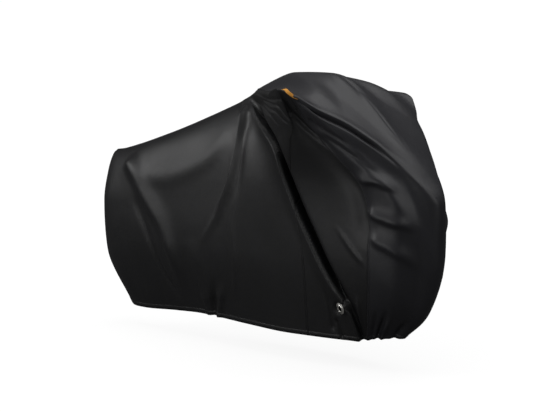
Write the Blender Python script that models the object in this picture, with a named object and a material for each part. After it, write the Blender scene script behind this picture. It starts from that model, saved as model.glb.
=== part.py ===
"""Bicycle cover of black polyester cloth, as it hangs on a parked bicycle.

The cloth is described as two draped halves that meet on the centre line.  In each half a place is
named by s, how far round the hem from the rear centre (0) to the front centre (1), and by v, how far
up from the hem (0) to the top line (1).  A table of sections gives the drape, a table of folds is laid
over it, and the panels are cut out of the result along the seams.

Frame of the tables: X forward, Y to the left, Z up, from the ground midway between the two axles.
The model itself hangs from the underside of the cover's top, over the handlebar.
"""
import math

import bpy
import bmesh
import numpy as np
from mathutils.bvhtree import BVHTree

CLOTH = 0.0015           # thickness of the coated cloth with its coating
THINNEST = 0.0007        # and where it is drawn together at the top and at the end of the bar
SEAM_GAP = 0.0006        # clear width between two panels along a seam
SUPPORT_X = 0.40         # the underside of the top rests here, on the handlebar stem
SUPPORT_HEIGHT = 1.203   # and this high over the ground

SEAM_REAR = 0.68         # s of the seam under the handlebar
SEAM_FRONT = 0.82        # s of the seam between the side and the hood
SEAM_TIP = 0.73          # v where the panel between those two seams ends, under the end of the bar
PATCH = (0.731, 0.787, 0.064, 0.144)    # s and v of the sides of the eyelet's patch

EYELET_S = 0.759         # the lock eyelet, low on the front side panel
EYELET_V = 0.104
EYELET_HOLE = 0.0172     # radius of the hole in the cloth
EYELET_FLAT = 0.029      # radius of the flat ground of cloth round it
EYELET_TURN = (-0.38, 0.0, 0.0)         # added to its axis: the pleat turns it to the rear

LOOP_WIDTH = 0.014
LOOP_THICK = 0.0022
LOOP_RISE = 0.013        # how far it bows down
LOOP_OUT = (-0.35, -0.60, -0.70)        # and which way
LOOP_CLEAR = 0.0005      # it lies this far off the cloth where it is sewn on
LOOP_GAP = 0.0075        # and this far where it bows out most
LOOP_SEARCH = 0.04       # how far above and below itself it looks for the cloth
LOOP_STEPS = 12
LOOP_PATH = ((0.8235, 0.825), (0.8235, 0.775), (0.838, 0.785))   # (s, v) on the hood: end, bend, end

# ------------------------------------------------------------------ the drape
# v of the six levels of the sections and of the top line
LEVELS = (0.0, 0.26, 0.50, 0.66, 0.80, 0.90, 1.0)

# Sections of the right half: name, s, then (x, distance from the centre line, height over the ground)
# at the hem, belly, waist, flank, shoulder, crown and top line.
SECTIONS = (
    ("rear_centre", 0.00, (-.790, 0, .125), (-.908, 0, .328), (-.930, 0, .560), (-.922, 0, .680),
     (-.914, 0, .735), (-.903, 0, .765), (-.882, 0, .782)),
    ("rear_turn", 0.06, (-.738, .042, .094), (-.850, .092, .338), (-.865, .095, .560), (-.862, .070, .680),
     (-.855, .045, .745), (-.845, .022, .778), (-.830, 0, .790)),
    ("rear_side", 0.14, (-.640, .058, .092), (-.680, .130, .400), (-.700, .125, .570), (-.710, .100, .710),
     (-.715, .062, .785), (-.718, .030, .812), (-.720, 0, .820)),
    ("wheel", 0.24, (-.420, .070, .108), (-.430, .145, .420), (-.420, .140, .610), (-.420, .115, .770),
     (-.425, .072, .868), (-.428, .034, .905), (-.430, 0, .915)),
    ("hollow", 0.35, (-.220, .090, .120), (-.180, .160, .440), (-.060, .150, .700), (-.025, .125, .880),
     (-.035, .078, .985), (-.060, .034, 1.035), (-.090, 0, 1.046)),
    ("middle", 0.47, (.080, .125, .118), (.120, .180, .450), (.110, .175, .720), (.065, .142, .895),
     (.022, .093, .990), (-.018, .045, 1.041), (-.060, 0, 1.061)),
    ("pleat", 0.58, (.300, .140, .116), (.320, .185, .450), (.275, .190, .740), (.215, .168, .905),
     (.155, .130, .990), (.078, .070, 1.048), (-.035, 0, 1.073)),
    ("seam_rear", 0.68, (.450, .138, .119), (.465, .185, .450), (.405, .200, .780), (.466, .266, .985),
     (.432, .300, 1.095), (.215, .146, 1.090), (-.010, 0, 1.084)),
    ("seam_front", 0.82, (.735, .085, .124), (.810, .160, .458), (.783, .165, .745), (.565, .252, 1.012),
     (.503, .332, 1.158), (.235, .155, 1.125), (.020, 0, 1.102)),
    ("bar", 0.86, (.762, .062, .130), (.880, .145, .420), (.870, .155, .740), (.740, .200, .925),
     (.610, .258, 1.088), (.480, .150, 1.165), (.240, 0, 1.196)),
    ("front_side", 0.90, (.790, .045, .137), (.930, .120, .370), (.940, .138, .700), (.825, .150, .880),
     (.735, .182, 1.012), (.610, .110, 1.110), (.440, 0, 1.206)),
    ("front_turn", 0.95, (.842, .022, .139), (.966, .060, .308), (1.005, .080, .620), (.940, .085, .800),
     (.862, .104, .920), (.770, .060, 1.000), (.620, 0, 1.130)),
    ("front_centre", 1.00, (.868, 0, .142), (.988, 0, .255), (1.066, 0, .480), (1.066, 0, .705),
     (.985, 0, .815), (.905, 0, .895), (.800, 0, .985)),
)

# Where the left half hangs otherwise, the same levels without the top line.  The bar is turned a little,
# so its left end stands further forward and lower.
LEFT_SECTIONS = {
    "pleat": ((.300, .140, .116), (.320, .185, .450), (.275, .188, .740), (.215, .163, .900),
              (.155, .125, .985), (.078, .066, 1.045)),
    "seam_rear": ((.450, .138, .115), (.465, .180, .450), (.430, .200, .760), (.500, .255, .945),
                  (.495, .285, 1.040), (.245, .138, 1.080)),
    "seam_front": ((.735, .085, .122), (.810, .160, .458), (.790, .170, .740), (.635, .262, .965),
                   (.585, .325, 1.103), (.280, .150, 1.126)),
    "bar": ((.762, .065, .130), (.880, .145, .420), (.870, .175, .720), (.745, .235, .890),
            (.655, .288, 1.042), (.495, .150, 1.166)),
    "front_side": ((.790, .060, .137), (.930, .135, .370), (.935, .160, .660), (.815, .195, .860),
                   (.745, .240, .970), (.625, .120, 1.090)),
    "front_turn": ((.830, .030, .142), (.958, .070, .300), (1.010, .085, .580), (.975, .095, .755),
                   (.880, .145, .862), (.775, .070, .985)),
}

# ------------------------------------------------------------------ the folds
# Each fold: name, the (s, v) places its line runs through, half width, height (below 0 a trough) and
# lean of the crest toward the front, in millimetres, and how much of its length fades in and out.
RIGHT_FOLDS = (
    ("rear band", ((.13, .74), (.172, .52), (.215, .26), (.275, .03)), 45, 14, 0, (.10, .25)),
    ("shoulder", ((.09, .80), (.155, .67), (.24, .60), (.31, .64), (.338, .90)), 45, 13, 0, (.15, .25)),
    ("bright ridge", ((.478, .90), (.430, .70), (.382, .52), (.374, .35), (.338, .20)), 26, 14, 0, (.15, .35)),
    ("beside ridge", ((.470, .72), (.425, .60), (.405, .42)), 36, -9, 0, (.30, .35)),
    ("hem gather", ((.374, .0), (.387, .20)), 22, -10, 0, (.0, .60)),
    ("pleat lip", ((.527, .925), (.606, .635), (.667, .455), (.725, .220), (.770, .07)), 28, 14, 4, (.15, .20)),
    ("pleat", ((.552, .88), (.632, .635), (.692, .455), (.733, .290), (.765, .17)), 32, -28, 0, (.20, .25)),
    ("low crease", ((.745, .060), (.762, .0)), 18, -9, 0, (.45, .05)),
    ("fan", ((.605, .90), (.640, .76), (.680, .62)), 26, -9, 0, (.20, .35)),
    ("under hood", ((.838, .705), (.852, .67), (.868, .60), (.880, .52)), 34, -18, 0, (.30, .45)),
    ("hood crease", ((.840, .80), (.87, .800), (.93, .800), (.985, .785)), 30, 14, 0, (.25, .20)),
    ("shade fold", ((.850, .665), (.900, .630), (.955, .640)), 26, -9, 0, (.30, .35)),
    ("top trough", ((.848, .865), (.885, .865), (.925, .920)), 38, -8, 0, (.25, .40)),
    ("front fold one", ((.822, .525), (.868, .523), (.960, .590)), 30, 13, 0, (.15, .40)),
    ("front fold two", ((.818, .430), (.880, .425), (.985, .470)), 32, 14, 0, (.15, .35)),
    ("front hollow", ((.812, .360), (.880, .360), (.985, .410)), 32, -13, 0, (.20, .35)),
    ("side hollow", ((.792, .620), (.786, .48), (.790, .34)), 36, -10, 0, (.35, .35)),
    ("front pleat", ((.905, .0), (.925, .16)), 22, -9, 0, (.0, .60)),
)

LEFT_FOLDS = (
    ("rear band", ((.12, .74), (.180, .46), (.240, .05)), 45, 12, 0, (.10, .25)),
    ("shoulder", ((.10, .78), (.18, .66), (.28, .65), (.33, .90)), 45, 11, 0, (.15, .25)),
    ("ridge one", ((.385, .90), (.350, .60), (.300, .22)), 36, 14, 0, (.15, .35)),
    ("ridge two", ((.470, .90), (.470, .55), (.430, .05)), 38, 12, 0, (.15, .15)),
    ("long trough", ((.565, .88), (.625, .55), (.720, .05)), 42, -24, 0, (.15, .15)),
    ("hood crease", ((.824, .80), (.87, .800), (.93, .790), (.985, .735)), 32, 5, 0, (.10, .20)),
    ("under hood", ((.825, .72), (.880, .64), (.935, .60)), 38, -16, 0, (.15, .40)),
    ("front fold one", ((.822, .500), (.880, .470), (.970, .520)), 34, 13, 0, (.15, .35)),
    ("front fold two", ((.818, .330), (.890, .300), (.975, .340)), 34, 11, 0, (.15, .35)),
    ("front pleat", ((.905, .0), (.925, .20)), 26, -10, 0, (.0, .60)),
)

# ------------------------------------------------------------------ where the mesh lines run
# s of the mesh columns as (from, to, number of steps); the seams fall on the ends of stretches
RIGHT_COLUMNS = ((0.0, 0.33, 12), (0.33, 0.41, 5), (0.41, 0.53, 5), (0.53, SEAM_REAR, 10),
                 (SEAM_REAR, PATCH[0], 3), (PATCH[0], PATCH[1], 5), (PATCH[1], SEAM_FRONT, 3),
                 (SEAM_FRONT, 1.0, 13))
LEFT_COLUMNS = ((0.0, SEAM_REAR, 19), (SEAM_REAR, SEAM_FRONT, 5), (SEAM_FRONT, 1.0, 13))
ROWS = ((0.0, PATCH[2], 2), (PATCH[2], PATCH[3], 4), (PATCH[3], 0.56, 8), (0.56, SEAM_TIP, 5),
        (SEAM_TIP, 0.90, 5), (0.90, 1.0, 2))


def steps(stretches):
    values = [stretches[0][0]]
    for start, end, count in stretches:
        values += [start + (end - start) * (k + 1) / count for k in range(count)]
    return np.array(values)


# ------------------------------------------------------------------ smooth curves through the tables
def slopes(x, y, smooth):
    """Slopes at the knots: the overshoot-free ones, mixed with a share of the rounder ones."""
    step = np.diff(x)[:, None]
    rise = np.diff(y, axis=0) / step
    plain = np.zeros_like(y)
    plain[0] = rise[0]
    plain[-1] = rise[-1]
    held = plain.copy()
    plain[1:-1] = (rise[:-1] * step[1:] + rise[1:] * step[:-1]) / (step[1:] + step[:-1])
    w1 = 2 * step[1:] + step[:-1]
    w2 = step[1:] + 2 * step[:-1]
    same = rise[:-1] * rise[1:] > 0
    low = np.where(same, rise[:-1], 1.0)
    high = np.where(same, rise[1:], 1.0)
    held[1:-1] = np.where(same, (w1 + w2) / (w1 / low + w2 / high), 0.0)
    return smooth * plain + (1 - smooth) * held


def curve(x, y, m, at):
    """The cubic through the knots (x, y) with slopes m."""
    i = np.clip(np.searchsorted(x, at, side="right") - 1, 0, len(x) - 2)
    h = (x[i + 1] - x[i])[:, None]
    t = (at - x[i])[:, None] / h
    return ((2 * t**3 - 3 * t**2 + 1) * y[i] + (t**3 - 2 * t**2 + t) * h * m[i]
            + (3 * t**2 - 2 * t**3) * y[i + 1] + (t**3 - t**2) * h * m[i + 1])


def drape(s, v, side):
    """Points of one half for the columns s and the rows v; side is -1 on the right, +1 on the left."""
    levels = np.array(LEVELS)
    places = np.array([row[1] for row in SECTIONS])
    top_line = np.array([row[-1] for row in SECTIONS], dtype=float)
    along_top = slopes(places, top_line, 0.0)
    along_top /= np.linalg.norm(along_top, axis=1, keepdims=True)
    profiles = []
    for tangent, row in zip(along_top, SECTIONS):
        knots = list(row[2:])
        if side > 0 and row[0] in LEFT_SECTIONS:
            knots[:6] = LEFT_SECTIONS[row[0]]
        knots = np.array(knots, dtype=float)
        m = slopes(levels, knots, 0.4)
        if knots[-2, 1] > 0:
            last = (knots[-1] - knots[-2]) / (levels[-1] - levels[-2])
            m[-1] = tangent * (last @ tangent) * 0.8 + np.array((0.0, 1.2 * last[1], 0.0))
        profiles.append(curve(levels, knots, m, v))
    profiles = np.array(profiles)
    points = np.zeros((len(s), len(v), 3))
    for j, height in enumerate(v):
        knots = profiles[:, j]
        m = slopes(places, knots, 0.5 * float(smooth_step((0.90 - height) / 0.12)))
        if height < 0.93:
            for end, inner in ((0, 1), (-1, -2)):
                across = 1.6 * (knots[end, 1] - knots[inner, 1]) / (places[end] - places[inner])
                m[end] = (0.0, across, 0.0)
        points[:, j] = curve(places, knots, m, s)
    points[..., 1] *= side
    return points


def outward(points, side):
    """Unit normals of a grid of points, pointing out of the cover."""
    normals = np.cross(np.gradient(points, axis=0), np.gradient(points, axis=1)) * -side
    normals[np.abs(points[..., 1]) < 0.0004, 1] = 0.0
    length = np.linalg.norm(normals, axis=2, keepdims=True)
    normals = normals / np.maximum(length, 1e-12)
    corner = normals[-2, -1] + normals[-1, -2]
    normals[-1, -1] = corner / np.linalg.norm(corner)
    return normals


def smooth_step(x):
    x = np.clip(x, 0.0, 1.0)
    return x * x * (3 - 2 * x)


def fold_line(places, side, count=28):
    """The fold's line on the drape, as points in space and the share of its length at each."""
    places = np.array(places, dtype=float)
    knots = np.linspace(0.0, 1.0, len(places))
    t = np.linspace(0.0, 1.0, count)
    sv = curve(knots, places, slopes(knots, places, 1.0), t) if len(places) > 2 else (
        places[0] + (places[1] - places[0]) * t[:, None])
    line = np.array([drape(np.array([a]), np.array([b]), side)[0, 0] for a, b in np.clip(sv, 0.0, 1.0)])
    return line, t


def fold_all(points, normals, s, v, side, folds):
    """Lays the folds on the drape: out along its normal, and forward where the crest leans."""
    moved = points.copy()
    near_centre = smooth_step((1.0 - v[None, :]) / 0.12)
    near_centre = near_centre * smooth_step(s[:, None] / 0.03) * smooth_step((1.0 - s[:, None]) / 0.02)
    for name, places, half_width, height, lean, fades in folds:
        line, along = fold_line(places, side)
        start = line[:-1]
        run = line[1:] - start
        flat = points.reshape(-1, 1, 3)
        share = np.clip(((flat - start) * run).sum(2) / (run * run).sum(1), 0.0, 1.0)
        away = np.linalg.norm(flat - start - share[..., None] * run, axis=2)
        k = away.argmin(axis=1)
        rows = np.arange(len(k))
        distance = away[rows, k].reshape(points.shape[:2])
        t = (along[k] + share[rows, k] * (along[1] - along[0])).reshape(points.shape[:2])
        window = np.ones_like(t)
        if fades[0] > 0:
            window = window * smooth_step(t / fades[0])
        if fades[1] > 0:
            window = window * smooth_step((1.0 - t) / fades[1])
        shape = np.exp(-(distance / (half_width * 0.001))**2) * window * near_centre
        moved += normals * (shape * height * 0.001)[..., None]
        moved[..., 0] += shape * lean * 0.001
    return moved


def half(columns, rows, side, folds):
    """One folded half: its columns, rows, points and outward normals."""
    s = steps(columns)
    v = steps(rows)
    bare = drape(s, v, side)
    points = fold_all(bare, outward(bare, side), s, v, side, folds)
    points[..., 1] = np.where(np.abs(points[..., 1]) < 0.0004, 0.0, points[..., 1])
    return s, v, points, outward(points, side)


# ------------------------------------------------------------------ cloth with a thickness
def cloth(name, points, normals, quads, material, pin=None):
    """A sheet with its outer face on the points: inner face, and a rim along every free edge."""
    count = len(points)
    room = np.full(count, 1.0)
    for quad in quads:
        for p, q in zip(quad, quad[1:] + quad[:1]):
            length = np.linalg.norm(points[p] - points[q])
            room[p] = min(room[p], length)
            room[q] = min(room[q], length)
    inner = points - normals * np.clip(room * 0.3, THINNEST, CLOTH)[:, None]
    triangles = []
    for a, b, c, d in quads:
        short = np.linalg.norm(points[a] - points[c]) <= np.linalg.norm(points[b] - points[d])
        if pin in (a, c) or (short and pin not in (b, d)):
            triangles += [(a, b, c), (a, c, d)]
        else:
            triangles += [(a, b, d), (b, c, d)]
    edges = {}
    for tri in triangles:
        for p, q in zip(tri, tri[1:] + tri[:1]):
            edges[(p, q)] = edges.get((p, q), 0) + 1
    mesh = bmesh.new()
    verts = [mesh.verts.new(co) for co in np.concatenate([points, inner])]
    for a, b, c in triangles:
        mesh.faces.new((verts[a], verts[b], verts[c]))
        mesh.faces.new((verts[c + count], verts[b + count], verts[a + count]))
    for p, q in edges:
        if (q, p) in edges:
            continue
        if np.linalg.norm(points[q] - inner[p]) < np.linalg.norm(points[p] - inner[q]):
            mesh.faces.new((verts[q], verts[p], verts[p + count]))
            mesh.faces.new((verts[q], verts[p + count], verts[q + count]))
        else:
            mesh.faces.new((verts[q], verts[p], verts[q + count]))
            mesh.faces.new((verts[p], verts[p + count], verts[q + count]))
    loose = [vert for vert in mesh.verts if not vert.link_faces]
    bmesh.ops.delete(mesh, geom=loose, context="VERTS")
    return finish(name, mesh, material)


def finish(name, mesh, material):
    data = bpy.data.meshes.new(name)
    mesh.to_mesh(data)
    mesh.free()
    data.materials.append(material)
    data.shade_smooth()
    data.set_sharp_from_angle(angle=math.radians(50))
    part = bpy.data.objects.new(name, data)
    bpy.context.scene.collection.objects.link(part)
    part.parent = bpy.data.objects["cover"]
    return part


def cells(whole, side, taken):
    """The cells of a half for which taken(s, v), asked at the cell's middle, is true."""
    s, v = whole[0], whole[1]
    rows = len(v)
    quads = []
    for i in range(len(s) - 1):
        for j in range(rows - 1):
            if taken((s[i] + s[i + 1]) / 2, (v[j] + v[j + 1]) / 2):
                quad = (i * rows + j, (i + 1) * rows + j, (i + 1) * rows + j + 1, i * rows + j + 1)
                quads.append(quad if side < 0 else quad[::-1])
    return quads


def seam_back(points, quads):
    """Draws the free edges of a panel back by half a seam gap, in the cloth and square to the edge."""
    edges = {}
    for quad in quads:
        middle = points[list(quad)].mean(axis=0)
        for p, q in zip(quad, quad[1:] + quad[:1]):
            edges[(p, q)] = middle
    pushes = {}
    for (p, q), middle in edges.items():
        if (q, p) not in edges:
            along = points[q] - points[p]
            along = along / np.linalg.norm(along)
            push = middle - points[p]
            push = push - along * (push @ along)
            push = push / np.linalg.norm(push)
            pushes.setdefault(p, []).append(push)
            pushes.setdefault(q, []).append(push)
    drawn = points.copy()
    for k, near in pushes.items():
        mean = sum(near) / len(near)
        drawn[k] += mean / max(mean @ mean, 0.3) * SEAM_GAP / 2
    return drawn


def side_panel(name, whole, side, taken, material):
    points = whole[2].reshape(-1, 3)
    quads = cells(whole, side, taken)
    drawn = seam_back(points, quads)
    drawn[:, 1] = side * np.maximum(drawn[:, 1] * side, SEAM_GAP / 2)
    return cloth(name, drawn, whole[3].reshape(-1, 3), quads, material)


def hood_panel(name, right, left, material):
    """The front piece: both halves from the front seam on, joined along the top and front centre."""
    start = len(right[2]) - int((right[0] > SEAM_FRONT - 0.001).sum())
    rows = len(right[1])
    left_start = len(left[2]) - (len(right[2]) - start)
    halves = [np.array([whole[2][k:], whole[3][k:]]) for whole, k in ((right, start), (left, left_start))]
    columns = halves[0].shape[1]
    count = columns * rows
    for edge in ((slice(None), -1), (-1, slice(None))):
        mean = halves[0][1][edge] + halves[1][1][edge]
        mean[..., 1] = 0.0
        halves[0][1][edge] = mean / np.linalg.norm(mean, axis=-1, keepdims=True)
    own = np.arange(count).reshape(columns, rows)
    other = own + count
    other[:, -1] = own[:, -1]
    other[-1] = own[-1]
    quads = []
    for index, side in ((own, -1), (other, 1)):
        for i in range(columns - 1):
            for j in range(rows - 1):
                quad = (index[i, j], index[i + 1, j], index[i + 1, j + 1], index[i, j + 1])
                quads.append(tuple(int(k) for k in (quad if side < 0 else quad[::-1])))
    points = np.concatenate([h[0].reshape(-1, 3) for h in halves])
    normals = np.concatenate([h[1].reshape(-1, 3) for h in halves])
    return cloth(name, seam_back(points, quads), normals, quads, material, pin=count - 1)


def eyelet_frame():
    """The eyelet's place: its centre on the cloth, and the axes along, up and out of the cloth."""
    centre = folded_place(EYELET_S, EYELET_V)
    ahead = folded_place(EYELET_S + 0.010, EYELET_V) - folded_place(EYELET_S - 0.010, EYELET_V)
    above = folded_place(EYELET_S, EYELET_V + 0.022) - folded_place(EYELET_S, EYELET_V - 0.022)
    out = np.cross(ahead, above)
    out = out / np.linalg.norm(out) + np.array(EYELET_TURN)
    out /= np.linalg.norm(out)
    up = above - out * (above @ out)
    up /= np.linalg.norm(up)
    return centre, np.cross(up, out), up, out


def folded_place(s, v):
    """One point of the folded right half, its normal taken from the drape round it."""
    near_s = np.array([s - 0.004, s, s + 0.004])
    near_v = np.array([v - 0.008, v, v + 0.008])
    bare = drape(near_s, near_v, -1)
    return fold_all(bare, outward(bare, -1), near_s, near_v, -1, RIGHT_FOLDS)[1, 1]


def eyelet_patch(name, whole, hole, frame, material):
    """The square of cloth that closes the hole in the side panel, flat round the eyelet."""
    s, v, points, normals = whole
    i0, i1, j0, j1 = hole
    centre, ahead, up, out = frame
    ring = [(i, j0) for i in range(i0, i1)] + [(i1, j) for j in range(j0, j1)]
    ring += [(i, j1) for i in range(i1, i0, -1)] + [(i0, j) for j in range(j1, j0, -1)]
    border = np.array([points[k] for k in ring])
    edge_normals = np.array([normals[k] for k in ring])
    inward = border.mean(axis=0) - border
    border = border + inward / np.linalg.norm(inward, axis=1, keepdims=True) * SEAM_GAP
    offset = border - centre
    angle = np.unwrap(np.arctan2(offset @ up, offset @ ahead))
    even = 2 * math.pi * np.arange(len(ring)) / len(ring) * np.sign(angle[-1] - angle[0])
    even += (angle - even).mean()
    circle = np.cos(even)[:, None] * ahead + np.sin(even)[:, None] * up
    rings = [(centre + circle * radius, np.tile(out, (len(ring), 1)))
             for radius in (EYELET_HOLE, 0.022, EYELET_FLAT)]
    blend = 0.55 * border + 0.45 * (centre + circle * EYELET_FLAT)
    mean = 0.5 * edge_normals + 0.5 * out
    rings.append((blend, mean / np.linalg.norm(mean, axis=1, keepdims=True)))
    rings.append((border, edge_normals))
    count = len(ring)
    quads = []
    for k in range(len(rings) - 1):
        for m in range(count):
            n = (m + 1) % count
            quads.append((k * count + m, (k + 1) * count + m, (k + 1) * count + n, k * count + n))
    return cloth(name, np.concatenate([r[0] for r in rings]), np.concatenate([r[1] for r in rings]),
                 quads, material)


def eyelet(name, frame, material):
    """A turned metal eyelet: rolled flange in front, neck through the cloth, washer behind."""
    profile = ((.0125, -.0042), (.0125, .0006), (.0138, .0022), (.0168, .0034), (.0205, .0032),
               (.0238, .0020), (.0250, .0004), (.0160, .0004), (.0160, -.0024), (.0230, -.0024),
               (.0230, -.0042))
    turns = 32
    centre, ahead, up, out = frame
    mesh = bmesh.new()
    rings = []
    for k in range(turns):
        angle = 2 * math.pi * k / turns
        across = math.cos(angle) * ahead + math.sin(angle) * up
        rings.append([mesh.verts.new(centre + across * r + out * h) for r, h in profile])
    for k in range(turns):
        here = rings[k]
        there = rings[(k + 1) % turns]
        for m in range(len(profile)):
            n = (m + 1) % len(profile)
            mesh.faces.new((here[m], here[n], there[n], there[m]))
    bmesh.ops.recalc_face_normals(mesh, faces=mesh.faces)
    return finish(name, mesh, material)


def pull_loop(name, grounds, material):
    """A short webbing loop, its flat ends sewn on the hood's lower edge, beside the end of the bar."""
    faces = [BVHTree.FromPolygons([vert.co for vert in ground.data.vertices],
                                  [face.vertices for face in ground.data.polygons]) for ground in grounds]
    first, bend, last = (np.array(place) for place in LOOP_PATH)
    shares = np.linspace(0.0, 1.0, LOOP_STEPS + 1)
    path = [(1 - t)**2 * first + 2 * t * (1 - t) * bend + t**2 * last for t in shares]
    seats = [faces[0].find_nearest(folded_place(s, v)) for s, v in path]
    middles = np.array([seat[0] for seat in seats])
    normals = np.array([seat[1] for seat in seats])
    for pass_number in range(3):
        normals[1:-1] = (normals[:-2] + normals[1:-1] + normals[2:]) / 3
    along = np.gradient(middles, axis=0)
    bow = np.array(LOOP_OUT) / np.linalg.norm(LOOP_OUT) * LOOP_RISE
    mesh = bmesh.new()
    sections = []
    for t, middle, tangent, normal in zip(shares, middles, along, normals):
        normal = normal - tangent * (normal @ tangent) / (tangent @ tangent)
        normal /= np.linalg.norm(normal)
        across = np.cross(tangent, normal)
        across *= LOOP_WIDTH / 2 / np.linalg.norm(across)
        swell = math.sin(math.pi * t)**2
        bowed = middle + bow * swell
        lift = max(LOOP_CLEAR + LOOP_GAP * swell - lowest_gap(faces, bowed, across, normal), 0.0)
        middle = bowed + normal * lift
        corners = ((-1, 0), (1, 0), (1, 1), (-1, 1))
        sections.append([mesh.verts.new(middle + across * a + normal * b * LOOP_THICK) for a, b in corners])
    for here, there in zip(sections, sections[1:]):
        for m in range(4):
            n = (m + 1) % 4
            mesh.faces.new((here[m], here[n], there[n], there[m]))
    mesh.faces.new(sections[0])
    mesh.faces.new(sections[-1])
    bmesh.ops.recalc_face_normals(mesh, faces=mesh.faces)
    return finish(name, mesh, material)


def lowest_gap(faces, middle, across, normal):
    """How far the lowest point over the webbing's width lies above the cloth, below 0 inside it."""
    gaps = [LOOP_SEARCH]
    for share in (-1.0, -0.5, 0.0, 0.5, 1.0):
        start = middle + across * share + normal * LOOP_SEARCH
        for tree in faces:
            distance = tree.ray_cast(start, -normal, 2 * LOOP_SEARCH)[3]
            if distance is not None:
                gaps.append(distance - LOOP_SEARCH)
    return min(gaps)


def material(name, colour, roughness, metallic=0.0):
    made = bpy.data.materials.new(name)
    made.use_nodes = True
    shader = made.node_tree.nodes["Principled BSDF"]
    shader.inputs["Base Color"].default_value = (*colour, 1.0)
    shader.inputs["Roughness"].default_value = roughness
    shader.inputs["Metallic"].default_value = metallic
    return made


# ------------------------------------------------------------------ the cover
for old in list(bpy.data.objects):
    bpy.data.objects.remove(old, do_unlink=True)

root = bpy.data.objects.new("cover", None)
root.location = (-SUPPORT_X, 0.0, -SUPPORT_HEIGHT)
bpy.context.scene.collection.objects.link(root)

side_cloth = material("side_cloth", (0.009, 0.009, 0.010), 0.50)
hood_cloth = material("hood_cloth", (0.015, 0.015, 0.017), 0.50)
steel = material("eyelet_steel", (0.80, 0.80, 0.78), 0.25, 1.0)
webbing = material("orange_webbing", (0.90, 0.30, 0.02), 0.70)

right = half(RIGHT_COLUMNS, ROWS, -1, RIGHT_FOLDS)
left = half(LEFT_COLUMNS, ROWS, 1, LEFT_FOLDS)

patch_hole = tuple(int(np.argmin(np.abs(places - at)))
                   for places, at in zip((right[0], right[0], right[1], right[1]), PATCH))


def in_rear(s, v):
    return s < SEAM_REAR or (s < SEAM_FRONT and v > SEAM_TIP)


def in_front(s, v):
    return SEAM_REAR < s < SEAM_FRONT and v < SEAM_TIP


def in_front_round_patch(s, v):
    return in_front(s, v) and not (PATCH[0] < s < PATCH[1] and PATCH[2] < v < PATCH[3])


side_rear = side_panel("side_rear_right", right, -1, in_rear, side_cloth)
side_panel("side_rear_left", left, 1, in_rear, side_cloth)
side_panel("side_front_right", right, -1, in_front_round_patch, side_cloth)
side_panel("side_front_left", left, 1, in_front, side_cloth)
hood = hood_panel("hood", right, left, hood_cloth)

ground = eyelet_frame()
eyelet_patch("eyelet_patch", right, patch_hole, ground, side_cloth)
eyelet("lock_eyelet", ground, steel)
pull_loop("pull_loop", (hood, side_rear), webbing)
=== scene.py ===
import math

import bpy
import bmesh
import numpy as np
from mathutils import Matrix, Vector, noise


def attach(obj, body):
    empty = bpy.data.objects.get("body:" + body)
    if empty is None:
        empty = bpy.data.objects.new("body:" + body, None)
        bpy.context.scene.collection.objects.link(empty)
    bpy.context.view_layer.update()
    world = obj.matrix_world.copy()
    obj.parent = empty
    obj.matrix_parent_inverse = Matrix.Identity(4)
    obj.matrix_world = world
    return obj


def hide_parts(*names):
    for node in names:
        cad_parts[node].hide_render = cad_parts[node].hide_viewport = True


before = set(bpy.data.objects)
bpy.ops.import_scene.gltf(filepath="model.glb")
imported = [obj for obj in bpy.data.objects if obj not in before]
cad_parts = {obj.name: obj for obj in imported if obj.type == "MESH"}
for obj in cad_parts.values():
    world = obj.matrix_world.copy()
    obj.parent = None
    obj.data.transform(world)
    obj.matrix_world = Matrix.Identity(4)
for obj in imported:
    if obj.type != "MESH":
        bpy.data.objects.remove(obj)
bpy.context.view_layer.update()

# ============================================================ right side panels
# Two panels of black coated polyester, cut wide so that they hang loose: a long rear panel, and a front
# panel that narrows to a point under the hood.  Their weight draws them into long soft folds, and one
# deep pleat runs from near the top line down to the lock eyelet.

# A place on a side is named by s, how far round the hem from the rear centre (0) to the front centre (1),
# and by v, how far up from the hem (0) to the top line (1).
SUPPORT = np.array((0.40, 0.0, 1.203))  # the frame's origin, in the tables' own x forward, y left, z up
SEAM_REAR = 0.68         # s of the seam between the rear and the front side panel
SEAM_FRONT = 0.82        # s of the seam between the side and the hood
SEAM_BEND = 0.63         # v where the rear seam starts to lean forward
SEAM_TIP = 0.715         # and v where it meets the front seam

# v of the six levels of the sections and of the top line
LEVELS = (0.0, 0.26, 0.50, 0.66, 0.80, 0.90, 1.0)

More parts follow.
